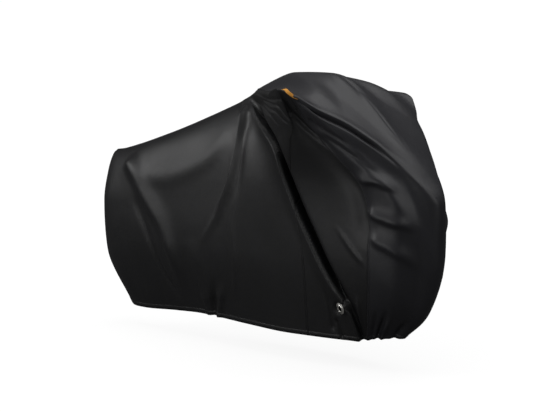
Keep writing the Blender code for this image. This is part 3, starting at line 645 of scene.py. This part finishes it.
def woven_webbing(name):
    """Polyester webbing in a herringbone weave: matt, with shade painted into the hollows between its
    raised cords and the cords painted lighter.
    """
    made, tree, shader = start_material(name)
    place = add(tree, "ShaderNodeTexCoord")
    ribs = add(tree, "ShaderNodeTexWave",
               {"Scale": WAVE_METRE / 0.0016, "Distortion": 1.2, "Detail Scale": 4.0},
               {"Vector": place.outputs["UV"]}, wave_type="BANDS", bands_direction="DIAGONAL")
    picks = add(tree, "ShaderNodeTexWave", {"Scale": WAVE_METRE / 0.0011}, {"Vector": place.outputs["UV"]},
                wave_type="BANDS", bands_direction="X")
    weave = add(tree, "ShaderNodeMath", {}, {0: ribs.outputs["Fac"], 1: picks.outputs["Fac"]},
                operation="MULTIPLY")
    # Painted shade and light: the weave's hollows are coloured darker orange and its raised cords paler.
    colour = add(tree, "ShaderNodeMix", {"A": linear("#b9741a"), "B": linear("#ffc65c")},
                 {"Factor": weave.outputs["Value"]}, data_type="RGBA")
    tree.links.new(colour.outputs["Result"], shader.inputs["Base Color"])
    raised = add(tree, "ShaderNodeBump", {"Strength": 0.6, "Distance": 0.0004},
                 {"Height": weave.outputs["Value"]})
    tree.links.new(raised.outputs["Normal"], shader.inputs["Normal"])
    shader.inputs["Roughness"].default_value = 0.75
    return made


def webbing(name, material):
    """The webbing along its route: a flat section with rounded edges, its UV map in metres."""
    knots = np.linspace(0.0, 1.0, len(LOOP_ROUTE))
    t = np.linspace(0.0, 1.0, LOOP_STEPS + 1)
    middles = np.array([row[0] for row in LOOP_ROUTE])
    looks = np.array([row[1] for row in LOOP_ROUTE])
    middles = curve(knots, middles, slopes(knots, middles, 1.0), t) - SUPPORT
    looks = curve(knots, looks, slopes(knots, looks, 1.0), t)
    looks += np.sin(np.pi * t)[:, None] * LOOP_TWIST
    along = np.gradient(middles, axis=0)
    run = np.concatenate([[0.0], np.cumsum(np.linalg.norm(np.diff(middles, axis=0), axis=1))])
    section = []
    for a in (-1, -.97, -.85, -.5, 0, .5, .85, .97, 1):
        section.append((a, 0.5 * max(1 - abs(a)**8, 0.15)))
    section += [(a, -h) for a, h in reversed(section)]
    mesh = bmesh.new()
    layer = mesh.loops.layers.uv.new("cloth")
    rows = []
    for middle, look, tangent, share in zip(middles, looks, along, t):
        tangent = tangent / np.linalg.norm(tangent)
        look = look - tangent * (look @ tangent)
        look /= np.linalg.norm(look)
        across = np.cross(tangent, look)
        half = LOOP_WIDTH / 2 * (LOOP_END + (1 - LOOP_END) * math.sin(math.pi * share)**0.8)
        rows.append([mesh.verts.new(middle + across * a * half + look * h * LOOP_THICK)
                     for a, h in section])
    for k, (here, there) in enumerate(zip(rows, rows[1:])):
        for m in range(len(section)):
            n = (m + 1) % len(section)
            face = mesh.faces.new((here[m], here[n], there[n], there[m]))
            spots = ((k, m), (k, n), (k + 1, n), (k + 1, m))
            for corner, (row, column) in zip(face.loops, spots):
                corner[layer].uv = (run[row], section[column][0] * LOOP_WIDTH / 2)
    mesh.faces.new(rows[0])
    mesh.faces.new(rows[-1])
    bmesh.ops.recalc_face_normals(mesh, faces=mesh.faces)
    data = bpy.data.meshes.new(name)
    mesh.to_mesh(data)
    mesh.free()
    return cover_piece(name, data, material)


orange_webbing = woven_webbing("orange polyester webbing")
loop = webbing("orange_pull_loop", orange_webbing)
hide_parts("pull_loop")

# ============================================================ left side panels
# The same two panels on the far side, cut as mirror images but hanging more plainly, with no eyelet.
LEFT_FOLDS = (
    ("rear band", ((.12, .74), (.180, .46), (.240, .05)), (45, 45), 12, 0, (.10, .25)),
    ("shoulder", ((.10, .78), (.18, .66), (.28, .65), (.33, .90)), (45, 45), 11, 0, (.15, .25)),
    ("ridge one", ((.385, .90), (.350, .60), (.300, .22)), (36, 36), 14, 0, (.15, .35)),
    ("ridge two", ((.470, .90), (.470, .55), (.430, .05)), (38, 38), 12, 0, (.15, .15)),
    ("long trough", ((.565, .88), (.625, .55), (.720, .05)), (42, 42), -24, 0, (.15, .15)),
    ("under hood", ((.825, .72), (.880, .64), (.935, .60)), (38, 38), -16, 0, (.15, .40)),
    ("front fold one", ((.822, .500), (.880, .470), (.970, .520)), (34, 34), 13, 0, (.15, .35)),
    ("front fold two", ((.818, .330), (.890, .300), (.975, .340)), (34, 34), 11, 0, (.15, .35)),
    ("front pleat", ((.905, .0), (.925, .20)), (26, 26), -10, 0, (.0, .60)),
)

left_rear, left_over, left_front = side_blocks(1, LEFT_FOLDS)
side_rear_left = panel("rear_side_left", [left_rear[0], left_over[0]], [1, 1], side_cloth)
side_front_left = panel("front_side_left", [left_front[0]], [1], side_cloth)
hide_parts("side_rear_left")
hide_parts("side_front_left")

# ============================================================ hood
# One wide piece over the top and the front, of the same cloth, its colour painted paler than the sides' to
# stand for the light that falls on its top.  It is held up from inside at its top and its two widest
# places, so it runs tight between them and falls in soft steps in front.
HOOD_COLUMNS = 104
# Painted light: the hood's colours are the sides' near black painted paler, for the light that falls on its
# top.
hood_cloth_painted_paler = coated_polyester("coated polyester, hood, painted paler", "#1b1b1e", "#222226", 0.47)


def hood_block(side, folds):
    v = all_rows()
    s = np.linspace(SEAM_FRONT, 1.0, HOOD_COLUMNS + 1)[:, None] + np.zeros(len(v))[None, :]
    return grid(s, v, side, folds)


right_hood = hood_block(-1, RIGHT_FOLDS)
left_hood = hood_block(1, LEFT_FOLDS)
hood = panel("hood_cloth_piece", [right_hood[0], left_hood[0]], [-1, 1], hood_cloth_painted_paler)
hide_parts("hood")

# ============================================================ seams and hem
# The panels are joined by flat-felled seams, 8 mm wide, each sewn down with two rows of black polyester
# thread, and the bottom edge is turned up 20 mm and sewn once.  The stitches are drawn at a 5 mm pitch,
# coarser than real so that they show.

# Across a seam and a hem: how far in from the edge, and how high over the cloth.
SEAM_BAND = ((0.0002, -0.0004), (0.0006, 0.0007), (0.0040, 0.0009), (0.0078, 0.0007), (0.0085, -0.0005))
HEM_BAND = ((0.0006, -0.0003), (0.0012, 0.0004), (0.0100, 0.0005), (0.0196, 0.0004), (0.0206, -0.0004))
PUCKER = (0.00035, 0.011)                     # height and pitch of the puckers that sewing leaves
PITCH = 0.005
STITCH = (0.0019, 0.00045, 0.0005)            # half length, half width and height
THREAD_LIFT = 0.0009     # the thread lies this far over the cloth
SEAM_ROWS = (0.0018, 0.0066)                  # how far in from the edge the rows of stitches run
HEM_ROWS = (0.0180,)


def along_edge(points, normals, inward):
    """Points and normals a given distance in from the block's first column, row by row."""
    run = np.zeros(points.shape[:2])
    run[1:] = np.cumsum(np.linalg.norm(np.diff(points, axis=0), axis=2), axis=0)
    places = np.zeros((points.shape[1], 3))
    outs = np.zeros((points.shape[1], 3))
    for j in range(points.shape[1]):
        for axis in range(3):
            places[j, axis] = np.interp(inward, run[:, j], points[:, j, axis])
            outs[j, axis] = np.interp(inward, run[:, j], normals[:, j, axis])
    return places, outs / np.maximum(np.linalg.norm(outs, axis=1, keepdims=True), 1e-9)


def band(points, normals, section):
    """A flat doubled strip along the block's first column, a little puckered."""
    strip = []
    for inward, lift in section:
        places, outs = along_edge(points, normals, inward)
        run = np.concatenate([[0.0], np.cumsum(np.linalg.norm(np.diff(places, axis=0), axis=1))])
        wave = PUCKER[0] * 0.5 * (1 + np.sin(2 * np.pi * run / PUCKER[1])) * (lift > 0)
        strip.append(places + outs * (lift + wave)[:, None])
    return np.array(strip)


def stitch_row(points, normals, inward, lift):
    """Stitches along the block's first column: each a short bar with pointed ends."""
    places, outs = along_edge(points, normals, inward)
    run = np.concatenate([[0.0], np.cumsum(np.linalg.norm(np.diff(places, axis=0), axis=1))])
    at = np.arange(PITCH / 2, run[-1], PITCH)
    middle = np.array([np.interp(at, run, places[:, axis]) for axis in range(3)]).T
    ahead = np.array([np.interp(at + 0.001, run, places[:, axis]) for axis in range(3)]).T - middle
    out = np.array([np.interp(at, run, outs[:, axis]) for axis in range(3)]).T
    verts = []
    faces = []
    for place, tangent, normal in zip(middle, ahead, out):
        size = np.linalg.norm(tangent)
        if size < 1e-6:
            continue
        tangent = tangent / size * STITCH[0]
        across = np.cross(normal, tangent)
        across *= STITCH[1] / max(np.linalg.norm(across), 1e-9)
        place = place + normal * lift
        start = len(verts)
        verts += [place - tangent, place + tangent]
        for end in (-0.55, 0.55):
            for a, h in ((1, 0), (0, 1), (-1, 0), (0, -0.4)):
                verts.append(place + tangent * end + across * a + normal * h * STITCH[2])
        for m in range(4):
            n = (m + 1) % 4
            faces.append((start, start + 2 + n, start + 2 + m))
            faces.append((start + 2 + m, start + 2 + n, start + 6 + n, start + 6 + m))
            faces.append((start + 1, start + 6 + m, start + 6 + n))
    return verts, faces


def sewing_thread(name):
    """Twisted polyester thread: black, drier than the coated cloth, so it shows as a dull broken line; its
    raised strands are painted lighter and the grooves of its twist darker, as painted light and shade.
    """
    made, tree, shader = start_material(name)
    place = add(tree, "ShaderNodeTexCoord")
    twist = add(tree, "ShaderNodeTexWave", {"Scale": WAVE_METRE / 0.0006, "Distortion": 0.5},
                {"Vector": place.outputs["Object"]}, wave_type="BANDS", bands_direction="DIAGONAL")
    # Painted light and shade: the twist's grooves are coloured darker and its raised strands lighter.
    colour = add(tree, "ShaderNodeMix", {"A": linear("#0f0f10"), "B": linear("#1c1c1e")},
                 {"Factor": twist.outputs["Fac"]}, data_type="RGBA")
    tree.links.new(colour.outputs["Result"], shader.inputs["Base Color"])
    raised = add(tree, "ShaderNodeBump", {"Strength": 0.4, "Distance": 0.0002},
                 {"Height": twist.outputs["Fac"]})
    tree.links.new(raised.outputs["Normal"], shader.inputs["Normal"])
    shader.inputs["Roughness"].default_value = 0.7
    return made


def loose_piece(name, verts, faces, material):
    data = bpy.data.meshes.new(name)
    data.from_pydata([tuple(vert) for vert in verts], [], faces)
    piece = cover_piece(name, data, material)
    return piece


def trim(name, strips, material):
    """Several bands as one piece, with UVs in metres for the cloth's weave."""
    verts = []
    faces = []
    uvs = []
    for strip in strips:
        start = len(verts)
        rows, length = strip.shape[:2]
        run = np.concatenate([[0.0], np.cumsum(np.linalg.norm(np.diff(strip[rows // 2], axis=0), axis=1))])
        for i in range(rows):
            verts += list(strip[i])
            uvs += [(distance, 0.002 * i) for distance in run]
        for i in range(rows - 1):
            for j in range(length - 1):
                a = start + i * length + j
                faces.append((a, a + 1, a + length + 1, a + length))
    piece = loose_piece(name, verts, faces, material)
    map_cloth(piece.data, uvs)
    return piece


def turned(block):
    """The block with its hem as the first column."""
    return block[0].transpose(1, 0, 2), block[1].transpose(1, 0, 2)


side_hems = [turned(block) for block in (right_rear, right_front, left_rear, left_front)]
hood_hems = [turned(block) for block in (right_hood, left_hood)]
side_strips = [band(*block, SEAM_BAND) for block in (right_front, left_front)]
side_strips += [band(*block, HEM_BAND) for block in side_hems]
hood_strips = [band(*block, SEAM_BAND) for block in (right_hood, left_hood)]
hood_strips += [band(*block, HEM_BAND) for block in hood_hems]
side_trim = trim("side_seams_and_hem", side_strips, side_cloth)
# The hood's seams and hem share its colour, painted paler for the light on its top.
hood_trim = trim("hood_seams_and_hem", hood_strips, hood_cloth_painted_paler)

thread_verts = []
thread_faces = []
for sewn, rows in (((right_front, left_front, right_hood, left_hood), SEAM_ROWS),
                   (side_hems + hood_hems, HEM_ROWS)):
    for block in sewn:
        for inward in rows:
            verts, faces = stitch_row(*block, inward, THREAD_LIFT)
            thread_faces += [tuple(k + len(thread_verts) for k in face) for face in faces]
            thread_verts += verts
black_thread = sewing_thread("black polyester thread")
stitches = loose_piece("seam_stitches", thread_verts, thread_faces, black_thread)

# ============================================================ camera, lights and floor
# A product picture on white.  The camera stands eleven metres off, a little above the hood.  A broad
# softbox hangs over the cover, a smaller one stands at each side, and a low one fills the near side.
FLOOR = -SUPPORT[2]
FLOOR_REACH = 40
CAMERA_PLACE = (7.5458, -7.8241, 0.9220)
CAMERA_AHEAD = (-0.70063, 0.70063, -0.13502)
LENS_PER_WIDTH = 2621.5 / 550            # focal length over the picture's width
SENSOR = 36.0

camera = bpy.data.objects.new("camera", bpy.data.cameras.new("camera"))
bpy.context.scene.collection.objects.link(camera)
camera.location = CAMERA_PLACE
camera.rotation_mode = "QUATERNION"
camera.rotation_quaternion = Vector(CAMERA_AHEAD).to_track_quat("-Z", "Y")
camera.data.sensor_width = SENSOR
camera.data.lens = SENSOR * LENS_PER_WIDTH
camera.data.clip_end = 100.0
bpy.context.scene.camera = camera


def soft_light(name, place, target, size, power):
    """A square softbox that faces the target: its side in metres, its power in watts."""
    lamp = bpy.data.lights.new(name, "AREA")
    lamp.shape = "SQUARE"
    lamp.size = size
    lamp.energy = power
    box = bpy.data.objects.new(name, lamp)
    box.location = place
    box.rotation_mode = "QUATERNION"
    box.rotation_quaternion = (Vector(target) - Vector(place)).to_track_quat("-Z", "Y")
    bpy.context.scene.collection.objects.link(box)


soft_light("overhead softbox", (0.7, 0.3, 3.8), (0.1, 0.0, -0.4), 5.6, 225)
soft_light("left softbox", (-4.6, -3.0, 1.6), (-0.2, 0.0, -0.5), 1.8, 95)
soft_light("right softbox", (5.4, -1.2, 2.2), (0.4, 0.0, -0.4), 2.4, 62)
soft_light("front fill", (-1.2, -6.5, 0.0), (-0.2, 0.0, -0.6), 3.0, 95)

# White paper, matt: most of its white is its own glow, so the cover's shadow on it stays faint, and it
# whitens further out until it can't be told from the background.
FLOOR_GLOW = 0.90
floor_mesh = bpy.data.meshes.new("floor")
corners = [(x * FLOOR_REACH, y * FLOOR_REACH, FLOOR) for x, y in ((-1, -1), (1, -1), (1, 1), (-1, 1))]
floor_mesh.from_pydata(corners, [], [(0, 1, 2, 3)])
floor = bpy.data.objects.new("floor", floor_mesh)
bpy.context.scene.collection.objects.link(floor)
white_floor, floor_tree, floor_shader = start_material("matt white floor")
floor_shader.inputs["Base Color"].default_value = linear("#606060")
floor_shader.inputs["Roughness"].default_value = 0.9
floor_shader.inputs["Specular IOR Level"].default_value = 0.0
floor_shader.inputs["Emission Color"].default_value = (1.0, 1.0, 1.0, 1.0)
rays = add(floor_tree, "ShaderNodeLightPath")
place = add(floor_tree, "ShaderNodeTexCoord")
away = add(floor_tree, "ShaderNodeVectorMath", {}, {0: place.outputs["Object"]}, operation="LENGTH")
whiter = add(floor_tree, "ShaderNodeMapRange",
             {"From Min": 1.0, "From Max": 4.0, "To Min": FLOOR_GLOW, "To Max": 1.02},
             {"Value": away.outputs["Value"]})
lit = add(floor_tree, "ShaderNodeMath", {},
          {0: rays.outputs["Is Camera Ray"], 1: whiter.outputs["Result"]}, operation="MULTIPLY")
floor_tree.links.new(lit.outputs["Value"], floor_shader.inputs["Emission Strength"])
floor_mesh.materials.append(white_floor)

world = bpy.data.worlds.new("white studio")
bpy.context.scene.world = world
world.use_nodes = True
backdrop = world.node_tree.nodes["Background"]
backdrop.inputs["Color"].default_value = (1.0, 1.0, 1.0, 1.0)
rays = add(world.node_tree, "ShaderNodeLightPath")
glow = add(world.node_tree, "ShaderNodeMapRange", {"To Min": 0.07, "To Max": 1.1},
           {"Value": rays.outputs["Is Camera Ray"]})
world.node_tree.links.new(glow.outputs["Result"], backdrop.inputs["Strength"])
bpy.context.scene.view_settings.view_transform = "Standard"
